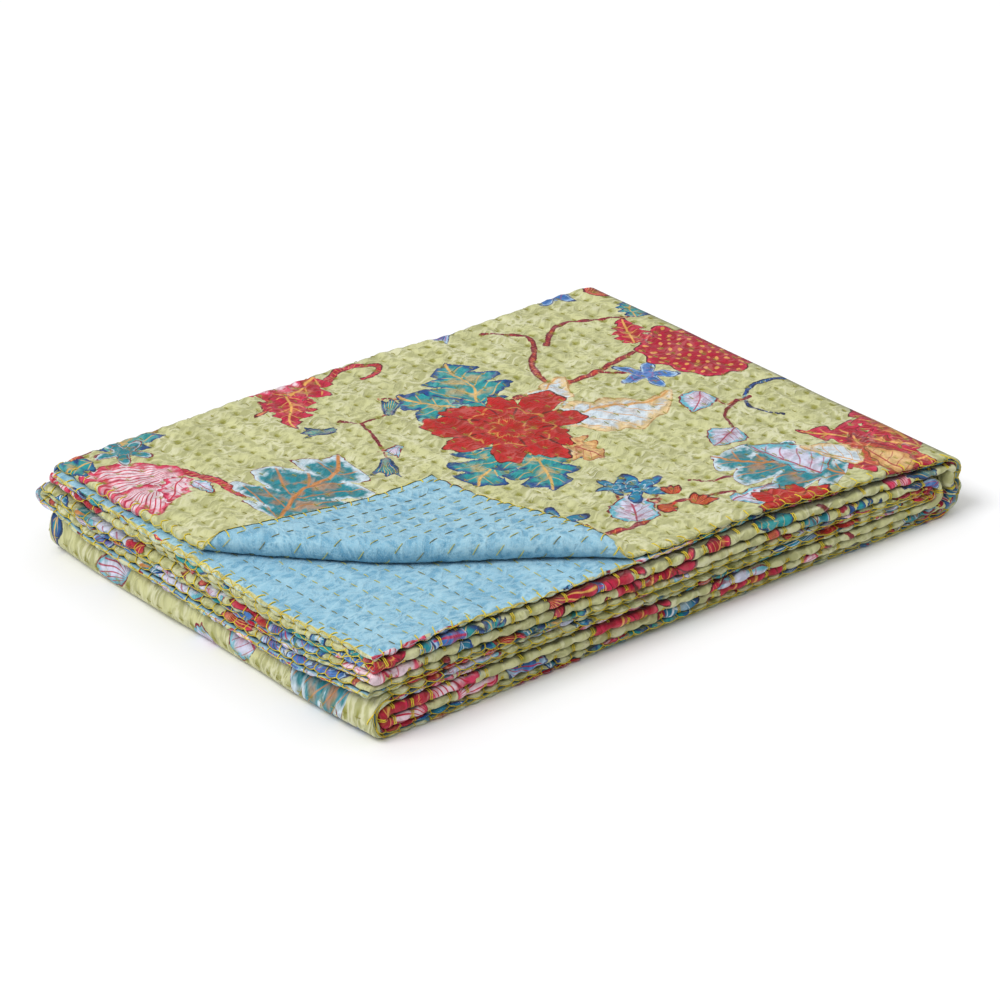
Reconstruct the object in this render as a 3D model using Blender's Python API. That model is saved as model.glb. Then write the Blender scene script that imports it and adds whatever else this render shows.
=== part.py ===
"""Kantha quilt: a printed cotton face sewn to a plain blue backing, folded to a sixteenth.

The quilt is folded like a book, twice across its width and twice along its length, so
sixteen layers lie on each other. The top layer's near corner is turned back and shows
the blue backing. Both cloths are modelled flat, as thin slabs at their cut size, and
every point is then folded: first the turned corner, then the fold across the width,
then the fold along the length, and last the unevenness of a soft stack.

Frame: X along the long side, Y along the short side, Z up, the underside at Z = 0.
"""

from collections import namedtuple

import bmesh
import bpy
import numpy as np
from mathutils import Matrix

# Driving dimensions, in metres.
FOLDED_LENGTH = 0.450
FOLDED_DEPTH = 0.318
LAYER_PITCH = 0.0032
CLOTH = 0.0011
CLOTH_PARTING = 0.00035
LAYERS_PER_FOLD = 4

# The half thickness of both cloths together, and of one fold of four layers.
HALF_QUILT = CLOTH + CLOTH_PARTING / 2
FOLD_PITCH = LAYERS_PER_FOLD * LAYER_PITCH
HALF_FOLD = 1.5 * LAYER_PITCH + HALF_QUILT

# A book fold: the level of each run, in pitches from the middle, and where it heads.
Run = namedtuple("Run", "level heads cells")
# The bend after a run: its two radii as shares of half its height, with an upright
# between them; the dent in that upright, and its level in shares of the same half
# height; how far the bend keeps back from the stack's side; and its facets.
Bend = namedtuple("Bend", "leaving arriving dent dent_level back facets")

WIDTH_RUNS = (
    Run(level=1.5, heads=1, cells=4),
    Run(level=-1.5, heads=-1, cells=3),
    Run(level=-0.5, heads=1, cells=3),
    Run(level=0.5, heads=-1, cells=3),
)
WIDTH_BENDS = (
    Bend(leaving=1.0, arriving=1.0, dent=0.0, dent_level=0.0, back=0.0, facets=6),
    Bend(leaving=1.0, arriving=1.0, dent=0.0, dent_level=0.0, back=0.0, facets=4),
    Bend(leaving=1.0, arriving=1.0, dent=0.0, dent_level=0.0, back=0.0032, facets=4),
)
LENGTH_RUNS = (
    Run(level=1.5, heads=1, cells=5),
    Run(level=-1.5, heads=-1, cells=4),
    Run(level=-0.5, heads=1, cells=4),
    Run(level=0.5, heads=-1, cells=4),
)
LENGTH_BENDS = (
    Bend(leaving=0.42, arriving=0.75, dent=0.0035, dent_level=0.30, back=0.0, facets=13),
    Bend(leaving=1.0, arriving=1.0, dent=0.0, dent_level=0.0, back=-0.0015, facets=7),
    Bend(leaving=1.0, arriving=1.0, dent=0.0, dent_level=0.0, back=0.0190, facets=6),
)
DENT_HALF_WIDTH = 0.0095

# How far a hem lies inside (+) or outside (-) a straight cut, at shares of the way along
# it. The first column is the hem where the fold's path starts, the last where it ends.
Hem = namedtuple("Hem", "at first last")
SIDE_HEMS = (
    Hem(at=0.00, first=0.0050, last=-0.0030),
    Hem(at=0.12, first=0.0065, last=-0.0035),
    Hem(at=0.24, first=0.0060, last=-0.0010),
    Hem(at=0.38, first=0.0030, last=0.0000),
    Hem(at=0.62, first=0.0010, last=0.0015),
    Hem(at=0.88, first=0.0000, last=-0.0010),
    Hem(at=1.00, first=0.0010, last=-0.0020),
)
FRONT_HEMS = (
    Hem(at=0.00, first=0.0000, last=0.0020),
    Hem(at=0.11, first=0.0085, last=0.0060),
    Hem(at=0.17, first=0.0070, last=0.0080),
    Hem(at=0.24, first=0.0025, last=0.0040),
    Hem(at=0.40, first=0.0030, last=0.0005),
    Hem(at=0.62, first=0.0010, last=0.0035),
    Hem(at=0.88, first=0.0025, last=0.0000),
    Hem(at=1.00, first=0.0015, last=0.0010),
)

# How far each fold of four layers slides past the top one, at the back and at the front.
Slide = namedtuple("Slide", "back front")
SLIDES = (Slide(0.0, 0.0), Slide(-0.0030, -0.0015), Slide(0.0090, 0.0010), Slide(0.0080, 0.0))

# The turned corner: where its crease meets the side hem and the front hem, how far the
# crease bows out in its middle and flares away from the corner at the front hem, the
# radius of its soft roll at both ends, and the height at which the corner lies.
CREASE_ON_SIDE = 0.174
CREASE_ON_FRONT = 0.165
CREASE_BOW = 0.0065
CREASE_FLARE = 0.026
FLARE_STARTS = 0.40
ROLL_AT_SIDE = 0.0042
ROLL_AT_FRONT = 0.0052
CORNER_HEIGHT = 0.0044
CORNER_SETTLES_IN = 0.075
ROLL_CUTS = 11
CORNER_CUTS = 3

# The stack is thicker or thinner at its corners, and its far side is folded askew.
Corner = namedtuple("Corner", "near left right far")
THICKNESS = Corner(near=1.14, left=1.15, right=0.76, far=1.18)
FAR_SIDE_SKEW = 0.0140

# Quilting: the puffs between the rows of running stitch, which run along the width.
ROW_PITCH = 0.015
PUFF = 0.0005
UNDERSIDE_PUFF = 0.0002
CUTS_PER_ROW = 2

FACE_GREEN = (0.60, 0.60, 0.29, 1.0)
BACKING_BLUE = (0.21, 0.44, 0.60, 1.0)

# Points along a bend's traced line, and the distances under which points are one.
QUARTER_POINTS = 91
UPRIGHT_POINTS = 61
CUT_TOLERANCE = 1e-6
SAME_POINT = 1e-5


def bend_line(bend, half_height):
    """A bend's middle line from its upper level to its lower: how far out, and at what level."""
    leaving, arriving = bend.leaving * half_height, bend.arriving * half_height
    quarter = np.linspace(0, np.pi / 2, QUARTER_POINTS)
    upright = np.linspace(half_height - leaving, arriving - half_height, UPRIGHT_POINTS)[1:-1]
    from_dent = np.clip((upright - bend.dent_level * half_height) / DENT_HALF_WIDTH, -1, 1)
    out = (
        leaving * (np.sin(quarter) - 1),
        -bend.dent * np.cos(np.pi / 2 * from_dent) ** 2,
        arriving * (np.cos(quarter[1:]) - 1),
    )
    level = (
        half_height + leaving * (np.cos(quarter) - 1),
        upright,
        -half_height + arriving * (1 - np.sin(quarter[1:])),
    )
    if bend.leaving + bend.arriving == 2:
        out, level = out[::2], level[::2]
    return np.concatenate(out), np.concatenate(level)


def trace(runs, bends, pitch, reach, half):
    """The middle line of a book fold, as lengths, points, unit normals and run ends."""
    line, breaks = [(-reach, runs[0].level * pitch)], [0]
    for run, bend, after in zip(runs, bends, runs[1:]):
        middle = (run.level + after.level) / 2 * pitch
        half_height = (run.level - after.level) / 2 * pitch
        out, level = bend_line(bend, abs(half_height))
        crown = reach - half - bend.back
        breaks.append(len(line))
        line.extend(zip(run.heads * (crown + out), middle + np.sign(half_height) * level))
        breaks.append(len(line) - 1)
    line.append((runs[-1].heads * reach, runs[-1].level * pitch))
    breaks.append(len(line) - 1)
    points = np.array(line)
    steps = np.diff(points, axis=0)
    lengths = np.concatenate([[0.0], np.cumsum(np.linalg.norm(steps, axis=1))])
    tangents = np.gradient(points, lengths, axis=0)
    tangents /= np.linalg.norm(tangents, axis=1)[:, None]
    normals = np.stack([-tangents[:, 1], tangents[:, 0]], axis=1)
    return lengths, points, normals, lengths[breaks]


def stations(ends, runs, bends):
    """Where the flat cloth is divided: even cells on each run and facets on each bend."""
    marks = []
    for index, run in enumerate(runs):
        marks.extend(np.linspace(ends[2 * index], ends[2 * index + 1], run.cells + 1)[:-1])
        if index < len(bends):
            facets = bends[index].facets
            bent = np.linspace(ends[2 * index + 1], ends[2 * index + 2], facets + 1)
            marks.extend(bent[:-1])
    return np.array([*marks, ends[-1]])


def along(path, at):
    """The point and the normal of a traced line at the given lengths, run on past its ends."""
    lengths, points, normals, _ = path
    inside = np.clip(at, lengths[0], lengths[-1])
    point = [np.interp(inside, lengths, points[:, axis]) for axis in (0, 1)]
    normal = [np.interp(inside, lengths, normals[:, axis]) for axis in (0, 1)]
    size = np.hypot(*normal)
    normal = [part / size for part in normal]
    past = at - inside
    return (point[0] + past * normal[1], point[1] - past * normal[0]), normal


def smooth(value):
    """0 to 1 with soft ends."""
    value = np.clip(value, 0, 1)
    return value * value * (3 - 2 * value)


WIDTH_PATH = trace(WIDTH_RUNS, WIDTH_BENDS, LAYER_PITCH, FOLDED_DEPTH / 2, HALF_QUILT)
LENGTH_PATH = trace(LENGTH_RUNS, LENGTH_BENDS, FOLD_PITCH, FOLDED_LENGTH / 2, HALF_FOLD)


def run_middles(path):
    """The length at the middle of each run."""
    ends = path[3]
    return (ends[0::2] + ends[1::2]) / 2


def hem_stray(at, across, path, other, hems):
    """How far a point moves along the path, so that the hems at its two ends wander."""
    places = [hem.at * other[0][-1] for hem in hems]
    first = np.interp(across, places, [hem.first for hem in hems])
    last = np.interp(across, places, [hem.last for hem in hems])
    whole, soft = path[0][-1], path[3][1] / 2
    return first * smooth(1 - at / soft) - last * smooth(1 - (whole - at) / soft)


def turn_corner(across, length, rise):
    """Roll the sheet's first corner back over itself, in the plane of the flat cloth."""
    normal = np.array([1 / CREASE_ON_SIDE, 1 / CREASE_ON_FRONT])
    from_corner = 1 / np.linalg.norm(normal)
    normal *= from_corner
    inward = across * normal[0] + length * normal[1]
    share = np.clip(0.5 + (length * normal[0] - across * normal[1]) / (2 * from_corner), 0, 1)
    radius = ROLL_AT_SIDE + (ROLL_AT_FRONT - ROLL_AT_SIDE) * share
    flare = CREASE_FLARE * smooth((share - FLARE_STARTS) / (1 - FLARE_STARTS))
    start = from_corner + radius + flare - CREASE_BOW * 4 * share * (1 - share)
    arc = np.clip(start - inward, 0, None)
    angle = np.minimum(arc / radius, np.pi)
    beyond = np.clip(arc - np.pi * radius, 0, None)
    settled = smooth(beyond / CORNER_SETTLES_IN)
    drop = (2 * radius - CORNER_HEIGHT) * settled
    moved = start - (radius - rise) * np.sin(angle) + beyond
    lifted = radius - (radius - rise) * np.cos(angle) - drop
    turned = arc > 0
    push = np.where(turned, moved - inward, 0)
    return (
        across + push * normal[0],
        length + push * normal[1],
        np.where(turned, lifted, rise),
    )


def on_corner(across, length):
    """True on the quarter panel whose corner is turned back."""
    return (across < WIDTH_PATH[3][1]) & (length < LENGTH_PATH[3][1])


def fold(across, length, rise):
    """Fold flat points: distances across and along the quilt, and height over its middle."""
    stray_across = hem_stray(across, length, WIDTH_PATH, LENGTH_PATH, FRONT_HEMS)
    stray_length = hem_stray(length, across, LENGTH_PATH, WIDTH_PATH, SIDE_HEMS)
    on_panel = on_corner(across, length)
    slab = length
    turned = turn_corner(across + stray_across, length + stray_length, rise)
    across = np.where(on_panel, turned[0], across + stray_across)
    length = np.where(on_panel, turned[1], length + stray_length)
    rise = np.where(on_panel, turned[2], rise)
    (y, level), (lean_y, lean_level) = along(WIDTH_PATH, across)
    y, level = y + rise * lean_y, level + rise * lean_level
    (x, z), (lean_x, lean_z) = along(LENGTH_PATH, length)
    x, z = x + level * lean_x, z + level * lean_z
    z = z + 1.5 * FOLD_PITCH + HALF_FOLD
    middles = run_middles(LENGTH_PATH)
    back = np.interp(slab, middles, [slide.back for slide in SLIDES])
    front = np.interp(slab, middles, [slide.front for slide in SLIDES])
    half_x, half_y = FOLDED_LENGTH / 2, FOLDED_DEPTH / 2
    y = y + back * smooth(y / half_y) - front * smooth(-y / half_y)
    east, north = np.clip((x / half_x + 1) / 2, 0, None) ** 2, (y / half_y + 1) / 2
    thick = (
        THICKNESS.near * (1 - east) * (1 - north)
        + THICKNESS.left * (1 - east) * north
        + THICKNESS.right * east * (1 - north)
        + THICKNESS.far * east * north
    )
    x = x + FAR_SIDE_SKEW * smooth(x / half_x) * (1 - 2 * north)
    return np.stack([x, y, z * thick], axis=1)


def crease_distances():
    """The distances from the corner at which the flat cloth is cut along the roll."""
    from_corner = 1 / np.hypot(1 / CREASE_ON_SIDE, 1 / CREASE_ON_FRONT)
    start = from_corner + ROLL_AT_FRONT + CREASE_FLARE
    roll = np.linspace(start, from_corner - np.pi * ROLL_AT_FRONT, ROLL_CUTS)
    settle = np.linspace(roll[-1], roll[-1] - CORNER_SETTLES_IN, CORNER_CUTS + 1)[1:]
    return np.concatenate([roll, settle])


def cut(sheet, faces, point, normal):
    """Divide some of a flat sheet's faces along a straight line."""
    edges = {edge for face in faces for edge in face.edges}
    verts = {vert for face in faces for vert in face.verts}
    geom = [*faces, *edges, *verts]
    bmesh.ops.bisect_plane(sheet, geom=geom, plane_co=point, plane_no=normal, dist=CUT_TOLERANCE)


def panel_faces(sheet):
    """The faces of the top panel, the quarter of a quarter that shows from above."""
    return [
        face
        for face in sheet.faces
        if on_corner(face.calc_center_median().x, face.calc_center_median().y)
    ]


def flat_sheet():
    """The flat cloth as one sheet of faces: X across the quilt, Y along it."""
    marks_across = stations(WIDTH_PATH[3], WIDTH_RUNS, WIDTH_BENDS)
    marks_length = stations(LENGTH_PATH[3], LENGTH_RUNS, LENGTH_BENDS)
    cells_across, cells_length = len(marks_across) - 1, len(marks_length) - 1
    sheet = bmesh.new()
    bmesh.ops.create_grid(sheet, x_segments=cells_across, y_segments=cells_length, size=0.5)
    for vert in sheet.verts:
        column = round((vert.co.x + 0.5) * cells_across)
        row = round((vert.co.y + 0.5) * cells_length)
        vert.co.x, vert.co.y = marks_across[column], marks_length[row]
    half_row = ROW_PITCH / CUTS_PER_ROW
    for step in range(1, int(LENGTH_PATH[3][1] / half_row) + 1):
        cut(sheet, panel_faces(sheet), (0, step * half_row, 0), (0, 1, 0))
    normal = (1 / CREASE_ON_SIDE, 1 / CREASE_ON_FRONT, 0)
    size = np.hypot(normal[0], normal[1])
    for distance in crease_distances():
        foot = (distance * normal[0] / size, distance * normal[1] / size, 0)
        cut(sheet, panel_faces(sheet), foot, normal)
    bmesh.ops.remove_doubles(sheet, verts=sheet.verts, dist=SAME_POINT)
    return sheet


def puff(across, length, height):
    """The swell of the quilting between two rows of stitch, on the top panel alone."""
    rows = 0.5 - 0.5 * np.cos(2 * np.pi * length / ROW_PITCH)
    return np.where(on_corner(across, length), rows * height, 0)


def cloth(name, middle, outward, swell, colour):
    """One cloth: its flat sheet is given its thickness, quilted, and folded point by point."""
    sheet = flat_sheet()
    bmesh.ops.solidify(sheet, geom=sheet.faces, thickness=CLOTH)
    points = np.array([vert.co[:] for vert in sheet.verts])
    points[:, 2] += middle - (points[:, 2].max() + points[:, 2].min()) / 2
    outer = (points[:, 2] - middle) * outward > 0
    points[:, 2] += outer * outward * puff(points[:, 0], points[:, 1], swell)
    for vert, place in zip(sheet.verts, fold(*points.T)):
        vert.co = place
    bmesh.ops.triangulate(sheet, faces=sheet.faces)
    bmesh.ops.recalc_face_normals(sheet, faces=sheet.faces)
    mesh = bpy.data.meshes.new(name)
    sheet.to_mesh(mesh)
    sheet.free()
    mesh.shade_smooth()
    mesh.materials.append(fabric(name, colour))
    return bpy.data.objects.new(name, mesh)


def fabric(name, colour):
    """A matt cotton of one colour."""
    material = bpy.data.materials.new(name)
    material.use_nodes = True
    shader = material.node_tree.nodes["Principled BSDF"]
    shader.inputs["Base Color"].default_value = colour
    shader.inputs["Roughness"].default_value = 0.9
    shader.inputs["Metallic"].default_value = 0.0
    return material


def centre(cloths):
    """Set the middle of the whole quilt's box over the origin."""
    places = np.array([vert.co[:] for item in cloths for vert in item.data.vertices])
    middle = (places.min(axis=0) + places.max(axis=0)) / 2
    for item in cloths:
        item.data.transform(Matrix.Translation((-middle[0], -middle[1], 0)))


def main():
    for item in list(bpy.data.objects):
        bpy.data.objects.remove(item, do_unlink=True)
    quilt = bpy.data.collections.new("kantha_quilt")
    bpy.context.scene.collection.children.link(quilt)
    middle = (CLOTH + CLOTH_PARTING) / 2
    face = cloth("printed_face", middle, 1, PUFF, FACE_GREEN)
    backing = cloth("blue_backing", -middle, -1, UNDERSIDE_PUFF, BACKING_BLUE)
    centre((face, backing))
    quilt.objects.link(face)
    quilt.objects.link(backing)


main()
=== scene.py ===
# %% [markdown]
# # A folded kantha quilt
# A kantha quilt is two thin cotton cloths, here a printed face and a plain blue backing,
# held together by rows of hand running stitch. This lesson dresses a folded one whose
# layers are already settled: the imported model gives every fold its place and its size.
# Nothing is modelled folded. Each cloth is made flat at the size it was cut, and then every
# point of it is folded. Its quilting and its print are worked out on the flat cloth too.

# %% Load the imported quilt
from collections import namedtuple

import bmesh
import bpy
import numpy as np
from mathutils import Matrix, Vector


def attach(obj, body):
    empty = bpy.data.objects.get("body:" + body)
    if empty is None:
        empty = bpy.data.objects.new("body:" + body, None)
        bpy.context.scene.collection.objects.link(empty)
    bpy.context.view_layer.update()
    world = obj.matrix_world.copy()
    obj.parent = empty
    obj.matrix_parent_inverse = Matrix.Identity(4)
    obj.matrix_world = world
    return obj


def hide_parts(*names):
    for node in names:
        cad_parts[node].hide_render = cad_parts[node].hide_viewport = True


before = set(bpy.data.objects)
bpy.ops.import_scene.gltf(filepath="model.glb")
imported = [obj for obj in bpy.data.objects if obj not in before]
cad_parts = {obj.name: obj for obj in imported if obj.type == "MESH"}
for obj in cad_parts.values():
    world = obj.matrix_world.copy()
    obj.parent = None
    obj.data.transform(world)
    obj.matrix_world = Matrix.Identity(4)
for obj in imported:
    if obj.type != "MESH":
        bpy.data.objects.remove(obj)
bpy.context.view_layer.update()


def placed(name, data):
    """A new object at the origin, in the scene."""
    made = bpy.data.objects.new(name, data)
    bpy.context.scene.collection.objects.link(made)
    return made


def cloth_piece(name, mesh, what):
    """A finished piece that lies on the quilt."""
    piece = placed(name, mesh)
    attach(piece, "root")
    triangles = sum(len(face.vertices) - 2 for face in mesh.polygons)
    print(f"{name}: {what}, {triangles} triangles")
    return piece

# %% [markdown]
# ## The fold
# The quilt is folded like a book, twice across its width and twice along its length.
# In section a book fold is a line that runs over and back at four levels, joined by round
# bends. The same small tables as in the solids describe it: a row for each run and each
# bend, with lengths in metres and levels counted in pitches from the middle.

# %% Sizes of the fold
FOLDED_LENGTH = 0.450
FOLDED_DEPTH = 0.318
LAYER_PITCH = 0.0032
HALF_QUILT = 0.001275
FOLD_PITCH = 4 * LAYER_PITCH
HALF_FOLD = 1.5 * LAYER_PITCH + HALF_QUILT
BOX_MIDDLE = (0.005135, 0.004000)

Run = namedtuple("Run", "level heads")
Bend = namedtuple("Bend", "leaving arriving dent dent_level back")
RUNS = (Run(1.5, 1), Run(-1.5, -1), Run(-0.5, 1), Run(0.5, -1))
WIDTH_BENDS = (Bend(1, 1, 0, 0, 0), Bend(1, 1, 0, 0, 0), Bend(1, 1, 0, 0, 0.0032))
LENGTH_BENDS = (
    Bend(leaving=0.42, arriving=0.75, dent=0.0035, dent_level=0.30, back=0.0),
    Bend(leaving=1, arriving=1, dent=0, dent_level=0, back=-0.0015),
    Bend(leaving=1, arriving=1, dent=0, dent_level=0, back=0.0190),
)
DENT_HALF_WIDTH = 0.0095


def bend_line(bend, half_height):
    """A bend's middle line: how far out it is, and at what level."""
    leaving, arriving = bend.leaving * half_height, bend.arriving * half_height
    quarter = np.linspace(0, np.pi / 2, 91)
    upright = np.linspace(half_height - leaving, arriving - half_height, 61)[1:-1]
    from_dent = np.clip((upright - bend.dent_level * half_height) / DENT_HALF_WIDTH, -1, 1)
    dent = -bend.dent * np.cos(np.pi / 2 * from_dent) ** 2
    out = (leaving * (np.sin(quarter) - 1), dent, arriving * (np.cos(quarter[1:]) - 1))
    low = -half_height + arriving * (1 - np.sin(quarter[1:]))
    level = (half_height + leaving * (np.cos(quarter) - 1), upright, low)
    if bend.leaving + bend.arriving == 2:
        out, level = out[::2], level[::2]
    return np.concatenate(out), np.concatenate(level)


def trace(bends, pitch, reach, half):
    """The middle line of a book fold: lengths, points, unit normals and run ends."""
    line, breaks = [(-reach, RUNS[0].level * pitch)], [0]
    for run, bend, after in zip(RUNS, bends, RUNS[1:]):
        middle = (run.level + after.level) / 2 * pitch
        half_height = (run.level - after.level) / 2 * pitch
        out, level = bend_line(bend, abs(half_height))
        breaks.append(len(line))
        places = run.heads * (reach - half - bend.back + out)
        line.extend(zip(places, middle + np.sign(half_height) * level))
        breaks.append(len(line) - 1)
    line.append((RUNS[-1].heads * reach, RUNS[-1].level * pitch))
    breaks.append(len(line) - 1)
    points = np.array(line)
    steps = np.linalg.norm(np.diff(points, axis=0), axis=1)
    lengths = np.concatenate([[0.0], np.cumsum(steps)])
    tangents = np.gradient(points, lengths, axis=0)
    tangents /= np.linalg.norm(tangents, axis=1)[:, None]
    return lengths, points, np.stack([-tangents[:, 1], tangents[:, 0]], axis=1), lengths[breaks]


WIDTH_PATH = trace(WIDTH_BENDS, LAYER_PITCH, FOLDED_DEPTH / 2, HALF_QUILT)
LENGTH_PATH = trace(LENGTH_BENDS, FOLD_PITCH, FOLDED_LENGTH / 2, HALF_FOLD)
WIDTH_ENDS, LENGTH_ENDS = WIDTH_PATH[3], LENGTH_PATH[3]
CUT_WIDTH, CUT_LENGTH = WIDTH_ENDS[-1], LENGTH_ENDS[-1]
SECOND_BEND = (WIDTH_ENDS[3] + WIDTH_ENDS[4]) / 2
LOWEST_ROLL = (LENGTH_ENDS[3] + LENGTH_ENDS[4]) / 2
print(f"unfolded, the quilt is {CUT_WIDTH:.3f} m by {CUT_LENGTH:.3f} m")

# %% [markdown]
# ## An uneven stack
# Nobody folds a quilt dead straight. The hems wander, the lower folds stick out past the
# top one, and the stack is thicker where the hems gather. Those measures are short tables
# again. Smaller waves come from a smooth noise made with a seeded table, so that the
# quilt comes out the same every time.

# %% The unevenness, in tables
Hem = namedtuple("Hem", "at first last")
SIDE_HEMS = (
    Hem(0.00, 0.0050, -0.0030),
    Hem(0.12, 0.0065, -0.0035),
    Hem(0.24, 0.0060, -0.0010),
    Hem(0.38, 0.0030, 0.0000),
    Hem(0.62, 0.0010, 0.0015),
    Hem(0.88, 0.0000, -0.0010),
    Hem(1.00, 0.0010, -0.0020),
)
FRONT_HEMS = (
    Hem(0.00, 0.0000, 0.0020),
    Hem(0.11, 0.0085, 0.0060),
    Hem(0.17, 0.0070, 0.0080),
    Hem(0.24, 0.0025, 0.0040),
    Hem(0.40, 0.0030, 0.0005),
    Hem(0.62, 0.0010, 0.0035),
    Hem(0.88, 0.0025, 0.0000),
    Hem(1.00, 0.0015, 0.0010),
)
Slide = namedtuple("Slide", "back front")
SLIDES = (Slide(0.0, 0.0), Slide(-0.0030, -0.0015), Slide(0.0090, 0.0010), Slide(0.0080, 0.0))
Corner = namedtuple("Corner", "near left right far")
THICKNESS = Corner(near=1.14, left=1.15, right=0.76, far=1.18)
FAR_SIDE_SKEW = 0.0140
CREASE_ON_SIDE = 0.174
CREASE_ON_FRONT = 0.165
CREASE_BOW = 0.0065
CREASE_FLARE = 0.026
FLARE_STARTS = 0.40
ROLL_AT_SIDE = 0.0042
ROLL_AT_FRONT = 0.0052
CORNER_HEIGHT = 0.0044
CORNER_SETTLES_IN = 0.075
NOISE_TABLE = 97


def smooth(value):
    """0 to 1 with soft ends."""
    value = np.clip(value, 0, 1)
    return value * value * (3 - 2 * value)


def noise(across, along, seed):
    """Soft hills and hollows between -1 and 1, one to each unit of the two places."""
    table = np.random.default_rng(seed).uniform(-1, 1, (NOISE_TABLE, NOISE_TABLE))
    column, row = np.floor(across).astype(int), np.floor(along).astype(int)
    east, north = smooth(across - column), smooth(along - row)

    def knot(east_step, north_step):
        return table[(column + east_step) % NOISE_TABLE, (row + north_step) % NOISE_TABLE]

    near = knot(0, 0) * (1 - east) + knot(1, 0) * east
    far = knot(0, 1) * (1 - east) + knot(1, 1) * east
    return near * (1 - north) + far * north


# %% Fold any flat point
def on_line(path, at):
    """The point and the normal of a traced line at the given lengths, run on past its ends."""
    lengths, points, normals, _ = path
    inside = np.clip(at, lengths[0], lengths[-1])
    point = [np.interp(inside, lengths, points[:, axis]) for axis in (0, 1)]
    lean = [np.interp(inside, lengths, normals[:, axis]) for axis in (0, 1)]
    size = np.hypot(*lean)
    lean = [part / size for part in lean]
    past = at - inside
    return (point[0] + past * lean[1], point[1] - past * lean[0]), lean


WHIP_PITCH = 0.0115
SCALLOP = 0.0013
STRAIGHT_HEM = 0.19


def whip_slip(place):
    """How far the whip stitches stray from an even spacing, in pitches."""
    return 0.40 * noise(place / 0.040, place / 0.31, 14)


def hump(place):
    """The scallop between two whip stitches: 0 at a stitch, 1 half way to the next."""
    return np.abs(np.sin(np.pi * (place / WHIP_PITCH + whip_slip(place))))


def hem_stray(at, across, path, other, hems):
    """How far a point moves along the path, so that the hems at its two ends wander."""
    places = [hem.at * other[0][-1] for hem in hems]
    first = np.interp(across, places, [hem.first for hem in hems])
    last = np.interp(across, places, [hem.last for hem in hems])
    whole, soft = path[0][-1], path[3][1] / 2
    scallop = SCALLOP * (hump(across) - 0.45)
    straight = 0.25 + 0.75 * smooth((across - STRAIGHT_HEM) / 0.03)
    first = first * smooth(1 - at / soft) - scallop * straight * smooth(1 - at / 0.009)
    last = last * smooth(1 - (whole - at) / soft) - scallop * smooth(1 - (whole - at) / 0.009)
    return first - last


def turn_corner(across, length, rise):
    """Roll the first corner of the sheet back over itself."""
    normal = np.array([1 / CREASE_ON_SIDE, 1 / CREASE_ON_FRONT])
    from_corner = 1 / np.linalg.norm(normal)
    normal *= from_corner
    inward = across * normal[0] + length * normal[1]
    share = np.clip(0.5 + (length * normal[0] - across * normal[1]) / (2 * from_corner), 0, 1)
    radius = ROLL_AT_SIDE + (ROLL_AT_FRONT - ROLL_AT_SIDE) * share
    flare = CREASE_FLARE * smooth((share - FLARE_STARTS) / (1 - FLARE_STARTS))
    start = from_corner + radius + flare - CREASE_BOW * 4 * share * (1 - share)
    arc = np.clip(start - inward, 0, None)
    angle = np.minimum(arc / radius, np.pi)
    beyond = np.clip(arc - np.pi * radius, 0, None)
    drop = (2 * radius - CORNER_HEIGHT) * smooth(beyond / CORNER_SETTLES_IN)
    moved = start - (radius - rise) * np.sin(angle) + beyond
    lifted = radius - (radius - rise) * np.cos(angle) - drop
    push = np.where(arc > 0, moved - inward, 0)
    return across + push * normal[0], length + push * normal[1], np.where(arc > 0, lifted, rise)


def on_panel(across, length):
    """True on the quarter of a quarter that lies on top."""
    return (across < WIDTH_ENDS[1]) & (length < LENGTH_ENDS[1])


def fold(across, length, rise):
    """Fold flat points: distances across and along the quilt, and height over its middle."""
    stray_across = hem_stray(across, length, WIDTH_PATH, LENGTH_PATH, FRONT_HEMS)
    stray_length = hem_stray(length, across, LENGTH_PATH, WIDTH_PATH, SIDE_HEMS)
    slab, top = length, on_panel(across, length)
    turned = turn_corner(across + stray_across, length + stray_length, rise)
    across = np.where(top, turned[0], across + stray_across)
    length = np.where(top, turned[1], length + stray_length)
    rise = np.where(top, turned[2], rise)
    (y, level), (lean_y, lean_level) = on_line(WIDTH_PATH, across)
    y, level = y + rise * lean_y, level + rise * lean_level
    (x, z), (lean_x, lean_z) = on_line(LENGTH_PATH, length)
    x, z = x + level * lean_x, z + level * lean_z
    z = z + 1.5 * FOLD_PITCH + HALF_FOLD
    middles = (LENGTH_ENDS[0::2] + LENGTH_ENDS[1::2]) / 2
    back = np.interp(slab, middles, [slide.back for slide in SLIDES])
    front = np.interp(slab, middles, [slide.front for slide in SLIDES])
    half_x, half_y = FOLDED_LENGTH / 2, FOLDED_DEPTH / 2
    y = y + back * smooth(y / half_y) - front * smooth(-y / half_y)
    east, north = np.clip((x / half_x + 1) / 2, 0, None) ** 2, (y / half_y + 1) / 2
    thick = (THICKNESS.near * (1 - east) + THICKNESS.right * east) * (1 - north)
    thick = thick + (THICKNESS.left * (1 - east) + THICKNESS.far * east) * north
    x = x + FAR_SIDE_SKEW * smooth(x / half_x) * (1 - 2 * north)
    return sway(x, y, (z - settled(x, north, z)) * thick)


STACK_HEIGHT = 3 * FOLD_PITCH + 2 * HALF_FOLD
ROLL_SETTLES = 0.13
SETTLE_REACH = 0.045


def settled(x, north, z):
    """How far a level sinks near the left side, where the hems press the lowest roll flat."""
    share = np.clip(z / STACK_HEIGHT, 0, 1)
    at_side = smooth((-x - FOLDED_LENGTH / 2 + SETTLE_REACH) / SETTLE_REACH)
    at_side = at_side * smooth(north / 0.25) * smooth((1 - north) / 0.15)
    return ROLL_SETTLES * STACK_HEIGHT * 4 * share * (1 - share) * at_side


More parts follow.
